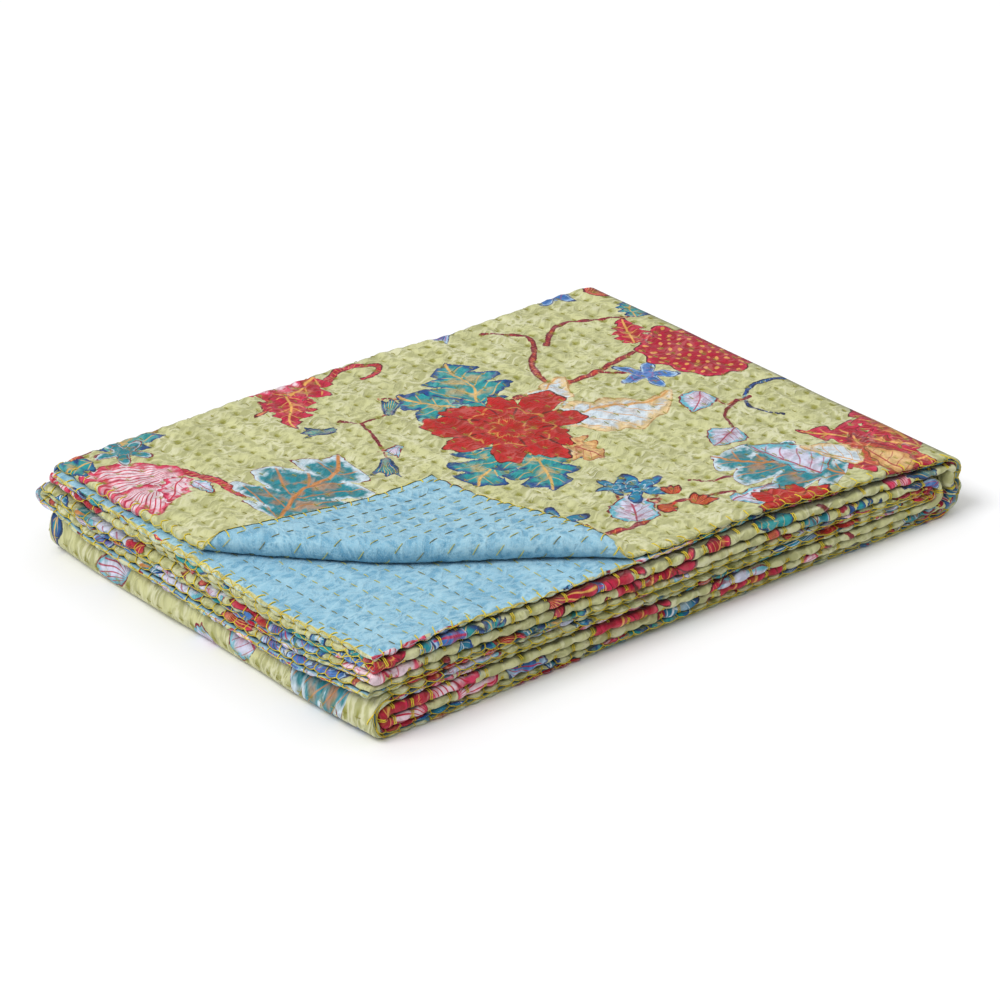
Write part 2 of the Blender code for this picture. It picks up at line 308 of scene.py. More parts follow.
SWAY = 0.0016
SWAY_LENGTH, SWAY_WIDTH = 0.085, 0.075
EDGE_SWAY = 0.0014
EDGE_REACH = 0.030
EDGE_WAVE, LAYER_WAVE = 0.042, 0.0062


def sway(x, y, z):
    """The small waves of a soft stack: up and down, and in and out at each layer's edge."""
    high = z / 0.05
    z = z + SWAY * high * noise(x / SWAY_LENGTH + 5, y / SWAY_WIDTH + 5, 11)
    edge_y = smooth((np.abs(y) - FOLDED_DEPTH / 2 + EDGE_REACH) / EDGE_REACH)
    edge_x = smooth((np.abs(x) - FOLDED_LENGTH / 2 + EDGE_REACH) / EDGE_REACH)
    in_y = EDGE_SWAY * edge_y * noise(x / EDGE_WAVE + 9, z / LAYER_WAVE + 3, 12)
    in_x = EDGE_SWAY * edge_x * noise(y / EDGE_WAVE + 9, z / LAYER_WAVE + 3, 13)
    z = np.maximum(z, 0.0001)
    return np.stack([x + in_x - BOX_MIDDLE[0], y + in_y - BOX_MIDDLE[1], z], axis=1)


corner_at = fold(np.zeros(1), np.zeros(1), np.zeros(1))[0]
print("the turned corner's tip lies at", corner_at.round(3))

# %% [markdown]
# ## The quilting
# Running stitch draws the two cloths together along a row, and each stitch pinches a
# small dimple. The cloth between two rows is left a little long, so it puffs and crinkles.
# That relief is a height over the flat sheet: a soft swell between rows, a dimple at each
# stitch, and two noises for the crinkles. It is full where the cloth lies free, and nearly
# flat where other layers press on it.

# %% Height of the quilting over the flat sheet
FACE, BACKING = 1, -1
ROW_PITCH = 0.0134
STITCH_PITCH = 0.0105
UNCOVERED = (0.20, 0.21)
TURNED = (0.205, 0.225)
TURNED_INSIDE = (0.15, 0.15)
ROW_SHIFTS = np.random.default_rng(4).uniform(0, 1, 400)
ROW_DRIFTS = np.random.default_rng(5).uniform(-0.0012, 0.0012, 400)


def stitch_slip(across, row):
    """How far the stitches of a row stray from an even spacing, in pitches."""
    return 0.12 * noise(across / 0.03, row * 2.3, 22)


def row_place(across, length):
    """The distance to the nearest row, and the place in its stitch, from -0.5 to 0.5."""
    row = np.round(length / ROW_PITCH - 0.5).astype(int)
    wander = ROW_DRIFTS[row % 400] * noise(across / 0.07, row * 1.7, 21)
    from_row = length - (row + 0.5) * ROW_PITCH - wander
    turn = across / STITCH_PITCH + ROW_SHIFTS[row % 400] + stitch_slip(across, row)
    return from_row, turn - np.round(turn)


def near_edge(at, path, reach):
    """1 at a hem or on a bend, falling to 0 at a reach from it."""
    ends = path[3]
    away = np.minimum(at - ends[0], ends[-1] - at)
    for start, stop in zip(ends[1:-1:2], ends[2:-1:2]):
        away = np.minimum(away, np.maximum(np.maximum(start - at, at - stop), 0))
    return smooth(1 - away / reach)


def cut_off(across, length, corner):
    """True on the corner side of a slanting line, given where it meets the two hems."""
    return across / corner[0] + length / corner[1] < 1


def under_corner(across, length):
    """True on the second layer where the turned corner uncovers it, and a little beyond."""
    return (across > WIDTH_ENDS[6]) & cut_off(CUT_WIDTH - across, length, UNCOVERED)


def at_back(across):
    """True near the bends that lie at the back of the stack."""
    return np.abs(np.abs(across / CUT_WIDTH - 0.5) - 0.25) < 0.03


def is_flap(across, length):
    """True on the turned corner itself, with its roll."""
    return on_panel(across, length) & cut_off(across, length, TURNED)


def blue_shows(across, length):
    """True where the backing is seen: on the turned corner and under it."""
    return is_flap(across, length) | under_corner(across, length)


def underside(across, length):
    """True on the panel that lies on the floor."""
    return (across < WIDTH_ENDS[1]) & (length > LENGTH_ENDS[2]) & (length < LENGTH_ENDS[3])


PRESSED, AT_EDGES = 0.1, 0.65
FREE_REACH = 0.016


def freedom(across, length, side):
    """How free the cloth is to puff: least between layers, more at edges, 1 where it shows."""
    at_bends = near_edge(across, WIDTH_PATH, FREE_REACH), near_edge(length, LENGTH_PATH, FREE_REACH)
    shows = (on_panel if side > 0 else blue_shows)(across, length)
    return np.maximum(PRESSED + AT_EDGES * np.maximum(*at_bends), shows * 1.0)


FACE_PUFF, BACKING_PUFF = 0.74, 0.36
ROW_HALF, DIMPLE_HALF = 0.0026, 0.0024
ROW_DEPTH = 0.00030
DIMPLE_DEPTH = 0.00090
SWELL_HEIGHT = 0.00045
RIDGE_HEIGHT = 0.00050
CRINKLE_HEIGHT = 0.00036
GATHER_HEIGHT = 0.00055
GATHER_DEPTH = 0.00105


def relief(across, length, side):
    """How far the cloth stands out of its plain level, and how deep in a stitch it is."""
    from_row, turn = row_place(across, length)
    stitch = turn if side > 0 else turn - np.sign(turn) * 0.5
    valley = np.exp(-((from_row / ROW_HALF) ** 2))
    press = np.exp(-((from_row / DIMPLE_HALF) ** 2)) * np.exp(-((stitch / 0.21) ** 2))
    press = press * (0.72 + 0.50 * noise(across / 0.017 + 3, length / 0.015, 34))
    swell = 1 - (2 * from_row / ROW_PITCH) ** 2
    bent = across / 0.0058 + noise(across / 0.02, length / 0.02, 33)
    ridges = 1 - 2 * np.abs(noise(bent, length / 0.0105, 31))
    crinkle = noise(across / 0.0042, length / 0.0047, 32)
    roll = np.abs(length - LOWEST_ROLL)
    size = (FACE_PUFF if side > 0 else BACKING_PUFF) * (1 - 0.5 * smooth(2 - roll / 0.016))
    height = -SWELL_HEIGHT * swell + RIDGE_HEIGHT * ridges + CRINKLE_HEIGHT * crinkle
    height = height - DIMPLE_DEPTH * press - ROW_DEPTH * valley
    on_roll = 0.8 * near_edge(length, LENGTH_PATH, 0.006) + near_edge(across, WIDTH_PATH, 0.004)
    on_roll = on_roll * np.where(at_back(across), 0.35, 1)
    gathered = GATHER_HEIGHT * (1 - valley) - GATHER_DEPTH * valley * (0.6 + 0.4 * press)
    height = height + SWELL_HEIGHT + on_roll * gathered
    return height * size * freedom(across, length, side), press


LEDGE = 0.0115
FACE_RIM, BACKING_RIM = 0.0066, 0.0040


def shown_on(at, path, rim):
    """1 at the hems and on the crowns of the bends, falling to 0 between the layers."""
    ends = path[3]
    shown = smooth((rim - np.minimum(at, ends[-1] - at)) / 0.003)
    for start, stop in zip(ends[1:-1:2], ends[2:-1:2]):
        crown = np.abs(at - (start + stop) / 2) / (stop - start)
        shown = np.maximum(shown, smooth(1.25 - crown * 1.9))
    return shown


def shown(across, length, side):
    """1 where a cloth shows, 0 where it lies in the shade between two layers."""
    rim = FACE_RIM if side > 0 else BACKING_RIM
    edges = np.maximum(shown_on(across, WIDTH_PATH, rim), shown_on(length, LENGTH_PATH, rim))
    outside = on_panel(across, length)
    if side < 0:
        ledge = (across > WIDTH_ENDS[6]) & (length < LEDGE)
        outside = blue_shows(across, length) | ledge
    return np.where(outside | ((side > 0) & underside(across, length)), 1.0, edges)


# %% [markdown]
# ## The hems
# The printed cloth is turned over the raw edge and whip-stitched down, so the rim of every
# layer is printed. A stitch nips the rim thin, and between two stitches it puffs into a
# small scallop. The rim is an ellipse in section: the backing ends at its tip, and the face
# goes round it and a little way under.

# %% Height of a cloth over the middle of the quilt
HEM_ROUND = 0.0021
HEM_WRAP = 0.0044
WRAP_ANGLE = np.radians(-60)
GAPE_REACH, GAPE = 0.012, 0.00026
HEM_SWELL = 0.00085
HEM_NIP = 0.00030
HEM_PRESS = 0.00032


def from_hem(across, length):
    """The distance to the nearest hem, and the place along it."""
    to_front = np.minimum(across, CUT_WIDTH - across)
    to_side = np.minimum(length, CUT_LENGTH - length)
    return np.minimum(to_front, to_side), np.where(to_front < to_side, length, across)


def puff(across, length, side):
    """Half the quilt's thickness at a place, for one side, and the press of a stitch."""
    to_hem, place = from_hem(across, length)
    out, press = relief(across, length, side)
    resting = (length > LENGTH_ENDS[1]) & (length < LENGTH_ENDS[4]) & (across < WIDTH_ENDS[2])
    out = np.where(resting & (side > 0), np.minimum(out, 0), out)
    at_bends = near_edge(across, WIDTH_PATH, GAPE_REACH), near_edge(length, LENGTH_PATH, GAPE_REACH)
    gape = GAPE * np.maximum(*at_bends) * (freedom(across, length, side) < 0.8)
    share = np.where(is_flap(across, length), 0.25, 1)
    scallop = share * (HEM_SWELL * hump(place) - HEM_NIP) - HEM_PRESS
    return HALF_QUILT + out - gape + smooth(1 - to_hem / 0.008) * scallop, press


def backing_height(across, length):
    """The backing's height over the middle of the quilt: it ends at the tip of the rim."""
    to_hem, _ = from_hem(across, length)
    round_off = np.sqrt(np.clip(1 - (1 - np.clip(to_hem / HEM_ROUND, 0, 1)) ** 2, 0, 1))
    half, press = puff(across, length, BACKING)
    return -(half - 0.00025 * smooth(1 - to_hem / 0.005)) * round_off, press


def round_rim(at, whole):
    """Where a place on the face lies round the rim, and its share of the height."""
    to_hem = np.minimum(at, whole - at)
    angle = WRAP_ANGLE + (np.pi / 2 - WRAP_ANGLE) * np.clip(to_hem / HEM_WRAP, 0, 1)
    spare = (HEM_WRAP - HEM_ROUND) * (1 - smooth((to_hem - HEM_WRAP) / 0.03))
    inward = np.where(to_hem < HEM_WRAP, HEM_ROUND * (1 - np.cos(angle)), to_hem - spare)
    return np.where(at < whole / 2, inward, whole - inward), np.sin(angle)


def face_place(across, length):
    """Where a flat point of the face goes, its height, and the press of a stitch."""
    across, front_share = round_rim(across, CUT_WIDTH)
    length, side_share = round_rim(length, CUT_LENGTH)
    share = np.minimum(front_share, side_share)
    half, press = puff(across, length, FACE)
    return across, length, share * half - 0.00010 * (share < 0), press


# %% [markdown]
# ## The sheets
# A grid of 16 mm cells is fine enough inside the stack, where nobody sees it. It is halved
# only where the cloth shows: three times on the top, on the turned corner, at the hems and
# on the front rolls, twice on the other bends, and once underneath. The last halving is only
# along a hem, not across it. Nested zones keep one joined sheet, and each cloth stays under
# 200,000 triangles.

# %% A flat sheet, halved where it shows
CELL = 0.016
HEM_MARKS = (0.0, HEM_WRAP)


def marks(path, facets):
    """Where the flat sheet is divided: at the hems, evenly on the runs, and on the bends."""
    ends = path[3]
    inside = [*ends]
    inside[0], inside[-1] = CELL, ends[-1] - CELL
    places = list(HEM_MARKS)
    for index in range(4):
        start, stop = inside[2 * index], inside[2 * index + 1]
        run = np.linspace(start, stop, round((stop - start) / CELL) + 1)
        places.extend(run if index == 3 else run[:-1])
        if index < 3:
            places.extend(np.linspace(stop, inside[2 * index + 2], facets[index] + 1)[:-1])
    places.extend(ends[-1] - mark for mark in reversed(HEM_MARKS))
    return np.array(places)


def depth_of_detail(across, length, side):
    """How many times a cell is halved."""
    front = np.minimum(across, CUT_WIDTH - across)
    front = np.minimum(front, np.abs(across - SECOND_BEND) - 0.004)
    hems = np.minimum(length, CUT_LENGTH - length)
    roll = np.abs(length - LOWEST_ROLL)
    edges = np.maximum(near_edge(across, WIDTH_PATH, 0.007), near_edge(length, LENGTH_PATH, 0.007))
    levels = np.where(edges > 0, 2, 0)
    levels = np.where((front < HEM_WRAP) | (hems < HEM_WRAP) | (roll < 0.0125), 3, levels)
    if side > 0:
        hidden = is_flap(across, length) & cut_off(across, length, TURNED_INSIDE)
        levels = np.where(on_panel(across, length) & ~hidden, 3, levels)
        return np.where(underside(across, length), np.maximum(levels, 1), levels)
    return np.where(blue_shows(across, length), 3, levels)


def crosses_hem(edge):
    """True for an edge that runs across the strip beside a hem."""
    first, last = (vert.co for vert in edge.verts)
    axis, whole = (0, CUT_WIDTH) if abs(first.x - last.x) > abs(first.y - last.y) else (1, CUT_LENGTH)
    return all(min(at[axis], whole - at[axis]) < HEM_WRAP + 0.0001 for at in (first, last))


def flat_sheet(side):
    """The cut cloth, lying flat: X across the quilt and Y along it."""
    columns, rows = marks(WIDTH_PATH, (2, 1, 1)), marks(LENGTH_PATH, (4, 2, 2))
    sheet = bmesh.new()
    bmesh.ops.create_grid(sheet, x_segments=len(columns) - 1, y_segments=len(rows) - 1, size=0.5)
    for vert in sheet.verts:
        vert.co.x = columns[round((vert.co.x + 0.5) * (len(columns) - 1))]
        vert.co.y = rows[round((vert.co.y + 0.5) * (len(rows) - 1))]
    for level in (1, 2, 3):
        faces = list(sheet.faces)
        middles = np.array([face.calc_center_median()[:2] for face in faces])
        wanted = depth_of_detail(middles[:, 0], middles[:, 1], side) >= level
        edges = {edge for face, take in zip(faces, wanted) if take for edge in face.edges}
        edges = {edge for edge in edges if level < 3 or not crosses_hem(edge)}
        bmesh.ops.subdivide_edges(sheet, edges=list(edges), cuts=1, use_grid_fill=True)
    bmesh.ops.triangulate(sheet, faces=[face for face in sheet.faces if len(face.verts) > 4])
    return sheet


def corners_of(mesh):
    """The point that each corner of each face uses, and the number of corners of each face."""
    points = np.empty(len(mesh.loops), np.int32)
    mesh.loops.foreach_get("vertex_index", points)
    sizes = np.empty(len(mesh.polygons), np.int32)
    mesh.polygons.foreach_get("loop_total", sizes)
    return points, sizes


def write(mesh, name, domain, values):
    """Keep a number, or a vector, for each point or face corner."""
    kind, field = ("FLOAT", "value") if values.ndim == 1 else ("FLOAT_VECTOR", "vector")
    layer = mesh.attributes.new(name, kind, domain)
    layer.data.foreach_set(field, values.astype(np.float32).ravel())


def sheet_piece(name, side):
    """One cloth: made flat, given its cut map, then folded. Returns it and its flat points."""
    sheet = flat_sheet(side)
    mesh = bpy.data.meshes.new(name)
    sheet.to_mesh(mesh)
    sheet.free()
    flat = np.empty(len(mesh.vertices) * 3, np.float32)
    mesh.vertices.foreach_get("co", flat)
    flat = flat.reshape(-1, 3)[:, :2].astype(float)
    points, _ = corners_of(mesh)
    cut_map = mesh.uv_layers.new(name="cut")
    cut_map.data.foreach_set("uv", flat[points].astype(np.float32).ravel())
    if side > 0:
        across, length, rise, press = face_place(flat[:, 0], flat[:, 1])
    else:
        across, length = flat[:, 0], flat[:, 1]
        rise, press = backing_height(across, length)
    folded = fold(across, length, rise)
    write(mesh, "dimple", "POINT", press)
    write(mesh, "shown", "POINT", shown(flat[:, 0], flat[:, 1], side))
    mesh.vertices.foreach_set("co", folded.astype(np.float32).ravel())
    if side > 0:
        mesh.flip_normals()
    mesh.shade_smooth()
    mesh.update()
    return cloth_piece(name, mesh, "one sheet"), flat


face_cloth, face_flat = sheet_piece("face_cloth", FACE)
back_cloth, back_flat = sheet_piece("backing_cloth", BACKING)
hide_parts("printed_face")
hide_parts("blue_backing")
top = max(face_cloth.data.polygons, key=lambda face: face.area * (face.center.z > 0.03))
print("a top face of the printed cloth points", [round(part, 2) for part in top.normal])

# %% [markdown]
# ## The print: what is drawn where
# The face is printed in the manner of an old Indian chintz: open flowers, lobed leaves
# and buds on branching stems, each with a dark outline and a paler rim. The drawing is
# kept as a table: a row for each motif, with its place on the cloth in metres, its size,
# and the way it points, in degrees from the length towards the width. The design repeats
# across the cloth, as a block or screen print does. All its shapes are worked out here
# from a few curves, so no picture is needed.

# %% Colours of the print
Ink = namedtuple("Ink", "body rim line vein")
INKS = {
    "red": Ink("AE161C", "BC2224", "520A14", "D2964C"),
    "deep": Ink("1E9299", "1A4488", "16335C", "D8AE68"),
    "teal": Ink("157F90", "C6D6E4", "74182E", "C07C44"),
    "lilac": Ink("C9CBE4", "62B0C6", "7A1A33", "A84460"),
    "cream": Ink("C9D6E4", "D9BE90", "B08A58", "D09A60"),
    "crimson": Ink("A80F33", "C4264C", "5E0E24", "E3A85A"),
    "pink": Ink("E6CCDA", "D23A62", "A3143F", "C4133F"),
    "navy": Ink("1D7FA6", "1A4290", "1C2450", "DDE6F2"),
    "bell": Ink("3A6FB8", "A9C8E6", "263873", "B02A5C"),
    "ochre": Ink("D9B27A", "C48E58", "8C4630", "A8443C"),
    "coral": Ink("C0473A", "8A2236", "76182F", "DE9A60"),
}
GROUND = "C2C292"
REPEAT = (0.345, 0.468)
PLAIN_FROM, PLAIN_TO = (0.0, 0.862), (0.33, 0.956)
INK_PARTS = ("body", "rim", "line", "vein", "under")

# %% Motifs, a row for each: shape, place and size in millimetres, turn, inks
Motif = namedtuple("Motif", "shape across length size turn ink")


def motifs(table):
    """The motifs of a table, in metres and degrees."""
    rows = [row.split() for row in table.strip().split("\n")]
    return tuple(
        Motif(shape, int(across) / 1000, int(length) / 1000, int(size) / 1000, int(turn), code)
        for shape, across, length, size, turn, code in rows
    )


MOTIFS = motifs("""
lobed 200 250 64 116 deep
lobed 220 260 58 70 deep
lobed 160 230 60 214 deep
lobed 150 240 56 246 deep
lobed 150 260 36 285 ochre
plume 170 280 82 -6 cream
plume 200 280 50 22 cream
bloom 180 250 54 12 red
star 190 370 22 40 bell
fruit 200 420 37 80 crimson
spray 230 400 40 60 crimson
heart 150 380 30 215 lilac
heart 100 360 30 205 lilac
spray 260 430 34 60 deep
bud 300 430 22 30 crimson
bell 310 420 28 160 bell
spray 20 440 74 128 crimson
spray 30 440 62 88 crimson
spray 10 430 66 160 crimson
spray 10 430 50 195 crimson
lobed 10 370 84 122 teal
plume 20 360 56 96 lilac
spray 10 390 52 60 coral
plume 20 390 40 110 cream
plume 0 400 40 80 ochre
heart 30 230 42 62 lilac
star 70 260 21 10 navy
star 60 190 22 70 navy
star 80 250 14 30 navy
bud 30 270 17 20 red
bud 40 250 14 -30 red
bud 50 270 13 60 red
plume 20 290 36 5 lilac
bloom 0 320 26 0 red
spray 310 200 72 196 crimson
spray 320 190 62 170 pink
spray 300 170 50 236 crimson
bud 260 50 60 176 pink
bud 250 30 40 205 pink
spray 250 50 36 215 pink
spray 240 50 20 265 lilac
lobed 170 60 86 26 teal
bell 240 160 22 150 deep
bell 240 200 22 40 deep
bell 190 160 25 230 deep
bell 200 180 18 200 lilac
lobed 300 40 50 60 deep
plume 320 60 40 20 ochre
spray 300 20 44 170 deep
spray 310 10 40 60 coral
spray 320 30 52 90 crimson
star 300 40 18 20 teal
bell 320 320 26 200 bell
bell 320 360 28 20 bell
star 320 410 20 0 bell
heart 130 30 28 140 ochre
bud 100 100 30 60 pink
lobed 90 130 50 330 teal
fruit 50 80 24 0 crimson
star 20 30 20 0 navy
""")
LONE_MOTIFS = motifs("""
bud 640 878 52 10 pink
bud 648 955 40 350 pink
spray 634 905 50 20 crimson
bud 640 860 36 190 pink
lobed 20 928 60 84 teal
heart 112 924 32 75 lilac
heart 150 914 26 110 lilac
bud 232 922 36 70 lilac
bell 76 1762 30 40 bell
heart 104 1768 28 90 pink
bell 540 1760 30 40 bell
heart 566 1764 28 90 bell
bell 722 1762 32 50 bell
bloom 744 1768 18 0 crimson
bell 1164 1762 30 40 bell
heart 1190 1766 28 90 bell
heart 10 70 30 20 bell
heart 640 66 26 180 bell
bud 640 126 40 0 crimson
""")

# %% [markdown]
# Small sprigs are strewn between the large motifs. The folded quilt shows them at its
# hems and on its front rolls, so each row here strews some over one narrow strip.

# %% Sprigs strewn over strips of the cloth
Strip = namedtuple("Strip", "count across length")
STRIPS = (
    Strip(26, (0.02, CUT_WIDTH - 0.02), (CUT_LENGTH - 0.012, CUT_LENGTH)),
    Strip(18, (0.34, CUT_WIDTH - 0.02), (0.0, 0.012)),
    Strip(22, (CUT_WIDTH - 0.010, CUT_WIDTH), (0.02, CUT_LENGTH - 0.02)),
    Strip(16, (0.0, 0.010), (0.48, CUT_LENGTH - 0.02)),
    Strip(26, (CUT_WIDTH / 2 - 0.006, CUT_WIDTH / 2 + 0.006), (0.02, CUT_LENGTH - 0.02)),
)
SPRIG_SHAPES = ["heart", "bell", "bud", "spray", "star"]
SPRIG_INKS = ("bell", "crimson", "deep", "pink", "crimson", "navy", "lilac")


def strewn(strip, chance):
    """One strip's sprigs, spread along its longer side."""
    spans = np.array([strip.across, strip.length])
    longer = int(np.argmax(spans[:, 1] - spans[:, 0]))
    sprigs = []
    for index in range(strip.count):
        share = chance.uniform(0, 1, 2)
        share[longer] = (index + share[longer]) / strip.count
        place = spans[:, 0] + share * (spans[:, 1] - spans[:, 0])
        shape, code = str(chance.choice(SPRIG_SHAPES)), str(chance.choice(SPRIG_INKS))
        size, turn = chance.uniform(0.016, 0.034), chance.uniform(0, 360)
        sprigs.append(Motif(shape, *place, size, turn, code))
    return sprigs


chance = np.random.default_rng(12)
SPRIGS = tuple(sprig for strip in STRIPS for sprig in strewn(strip, chance))

# %% Stems, a row for each: width in tenths of a millimetre, inks, places in centimetres
Stem = namedtuple("Stem", "width ink places")


def stems(table):
    """The stems of a table, in metres."""
    rows = [row.split() for row in table.strip().split("\n")]
    places = [[[int(number) / 100 for number in pair.split(",")] for pair in row[2:]] for row in rows]
    return tuple(Stem(int(row[0]) / 10000, row[1], on_way) for row, on_way in zip(rows, places))


STEMS = stems("""
56 coral 21,28 21,31 21,34 22,39 21,42
46 coral 21,31 24,32 26,34 28,35 30,33
30 coral 21,35 20,36 19,37
36 coral 22,25 24,24 26,21
34 navy 14,44 14,41 12,39 10,40
22 coral 13,40 13,38 15,38
22 coral 13,39 12,37 10,36
36 coral 26,35 28,38 27,41 26,43
50 coral 2,17 3,20 3,23 4,26 3,30
28 coral 3,20 5,20 6,19
28 coral 4,24 5,26 7,26
24 coral 5,26 6,24 8,25
76 crimson 26,5 23,6 21,6 19,7 17,6
60 crimson 30,20 31,22 30,24 29,23 29,22
20 coral 25,17 24,18 24,20
20 coral 24,18 21,17 19,16
26 ochre 15,2 16,4 15,6 13,7
30 coral 9,6 10,10 9,13 6,15 2,17
30 coral 7,33 5,32 5,30 6,29
""")
print(len(MOTIFS) + len(LONE_MOTIFS), "motifs and", len(STEMS), "stems, in a repeat of", REPEAT, "m")


# %% [markdown]
# Each shape is a curve that says how wide the motif is, at a unit size: a flower by the
# angle round its heart, a leaf by the way from its foot to its tip. The result is a signed
# distance, negative inside. A distance changes so smoothly that a mesh of 2 mm cells holds
# it well, and the material can cut it off sharply at the outline.

# %% Shapes at unit size, as signed distances
def leaf(x, y, half_width):
    """The distance to a leaf that runs from 0 to 1 along x."""
    beyond = np.maximum(np.maximum(-x, x - 1), 0)
    return np.where(beyond > 0, np.hypot(y, beyond), (np.abs(y) - half_width) * 0.8)


def bloom(x, y):
    around, away = np.arctan2(y, x), np.hypot(x, y)
    petals = 0.58 + 0.32 * np.abs(np.sin(4.5 * around + 0.6)) ** 0.5 + 0.12 * np.sin(3 * around + 1)
    return (away - petals - 0.035 * np.sin(31 * around) - 0.08 * np.sin(7 * around)) * 0.7


def star(x, y):
    around, away = np.arctan2(y, x), np.hypot(x, y)
    return (away - 0.28 - 0.72 * np.abs(np.cos(2.5 * around)) ** 1.8) * 0.55


def lobed(x, y):
    along = np.clip(x, 0, 1)
    lobes = 0.34 + 0.66 * np.abs(np.cos(3.6 * np.pi * along - 2.2 * np.abs(y) + 0.4)) ** 0.6
    teeth = 1 + 0.06 * np.cos(44 * along + 30 * np.abs(y))
    return leaf(x, y, 0.52 * np.sin(np.pi * along**0.72) ** 0.7 * lobes * teeth)


def heart(x, y):
    along = np.clip(x, 0, 1)
    bite = 1 + 0.07 * np.sin(34 * along)
    return leaf(x, y, 0.95 * np.sqrt(along) * (1 - along) ** 0.95 * bite)


def bell(x, y):
    along = np.clip(x / (1 + 0.14 * np.cos(14 * y)), 0, 1)
    return np.maximum(leaf(x, y, 0.14 + 0.34 * along**1.8), (x - 0.86 - 0.12 * np.cos(16 * y)) * 0.9)


def bud(x, y):
    """Three petals that lean apart from one foot."""
    petals = []
    for lean in np.radians([-26, 0, 26]):
        forward, left = x * np.cos(lean) + y * np.sin(lean), y * np.cos(lean) - x * np.sin(lean)
        along = np.clip(forward, 0, 1)
        ruffle = 1 + 0.07 * np.sin(30 * along)
        petals.append(leaf(forward, left, 0.21 * np.sin(np.pi * along**0.85) ** 0.7 * ruffle))
    return np.minimum.reduce(petals)


def fruit(x, y):
    around, away = np.arctan2(y, x), np.hypot(x * 0.82, y)
    return (away - 0.86 - 0.06 * np.cos(11 * around)) * 0.85


def spray(x, y):
    along = np.clip(x, 0, 1)
    teeth = 0.40 + 0.60 * np.abs(np.sin(5.5 * np.pi * along + 2.6 * np.abs(y)))
    return leaf(x, y, 0.36 * np.sin(np.pi * along**0.6) * teeth)


def plume(x, y):
    along = np.clip(x, 0, 1)
    fringe = 0.88 + 0.12 * np.sin(22 * along + 9 * np.abs(y))
    return leaf(x, y + 0.12 * np.sin(3 * along), 0.30 * np.sin(np.pi * along**0.65) ** 0.8 * fringe)


SHAPES = {
    "bloom": bloom, "star": star, "lobed": lobed, "heart": heart, "bell": bell,
    "bud": bud, "fruit": fruit, "spray": spray, "plume": plume,
}
LEAFY, FLOWER, STRIPED, SPOTTED, STEM = range(5)
STYLES = {
    "bloom": FLOWER, "star": FLOWER, "bud": STRIPED, "bell": STRIPED, "fruit": SPOTTED, "stem": STEM,
}


# %% Stems as smooth curves
def stem_line(places):
    """The middle of a stem: a smooth curve through its few places."""
    knots = np.array(places)
    at = np.linspace(0, len(knots) - 1, 8 * (len(knots) - 1) + 1)
    first = np.clip(at.astype(int), 0, len(knots) - 2)
    share = (at - first)[:, None]
    before, after = knots[np.maximum(first - 1, 0)], knots[np.minimum(first + 2, len(knots) - 1)]
    start, stop = knots[first], knots[first + 1]
    bend = (2 * before - 5 * start + 4 * stop - after) * share**2
    turn = (3 * (start - stop) + after - before) * share**3
    return 0.5 * (2 * start + (stop - before) * share + bend + turn)


def in_stem(stem, point):
    """The distance to a stem that thins towards its end, and the place along and across it."""
    line = stem_line(stem.places)
    best, along, side = np.full(len(point), 1.0), np.zeros(len(point)), np.zeros(len(point))
    for index, (start, stop) in enumerate(zip(line, line[1:])):
        step, gap = stop - start, point - start
        share = np.clip(gap @ step / (step @ step), 0, 1)
        gap = gap - share[:, None] * step
        place = (index + share) / (len(line) - 1)
        knots = 0.12 * np.sin(place * 40)
        half = stem.width / 2 * (1 - 0.55 * place + knots)
        away = np.hypot(*gap.T) - half
        nearer = away < best
        best, along = np.where(nearer, away, best), np.where(nearer, place, along)
        beside = (step[0] * gap[:, 1] - step[1] * gap[:, 0]) / np.hypot(*step) / half
        side = np.where(nearer, beside, side)
    return best, along * 3, side


def in_motif(motif, point):
    """The distance to a motif's outline, and the place in its own unit frame, a little wavy."""
    turn = np.radians(motif.turn)
    gap = (point - (motif.across, motif.length)) / motif.size
    forward = gap[:, 0] * np.sin(turn) + gap[:, 1] * np.cos(turn)
    left = gap[:, 0] * np.cos(turn) - gap[:, 1] * np.sin(turn)
    seed = int(motif.across * 1000) + 60
    x = forward + 0.07 * noise(forward * 2.6 + seed, left * 2.6 + 9, 41)
    y = left + 0.07 * noise(forward * 2.6 + seed, left * 2.6 + 40, 42)
    return SHAPES[motif.shape](x, y) * motif.size, x, y


# %% [markdown]
# Each face of the mesh belongs to the topmost motif that covers it. Its corners then carry
# what the material needs: the distance to that motif's outline, the place inside the motif,
# and its four inks. Because a whole face has one motif, nothing smears between two of them.

# %% Write the print into the cloth
def linear(code):
    """The linear colour of a hexadecimal sRGB code."""
    parts = np.array([int(code[i : i + 2], 16) / 255 for i in (0, 2, 4)])
    return np.where(parts <= 0.04045, parts / 12.92, ((parts + 0.055) / 1.055) ** 2.4)


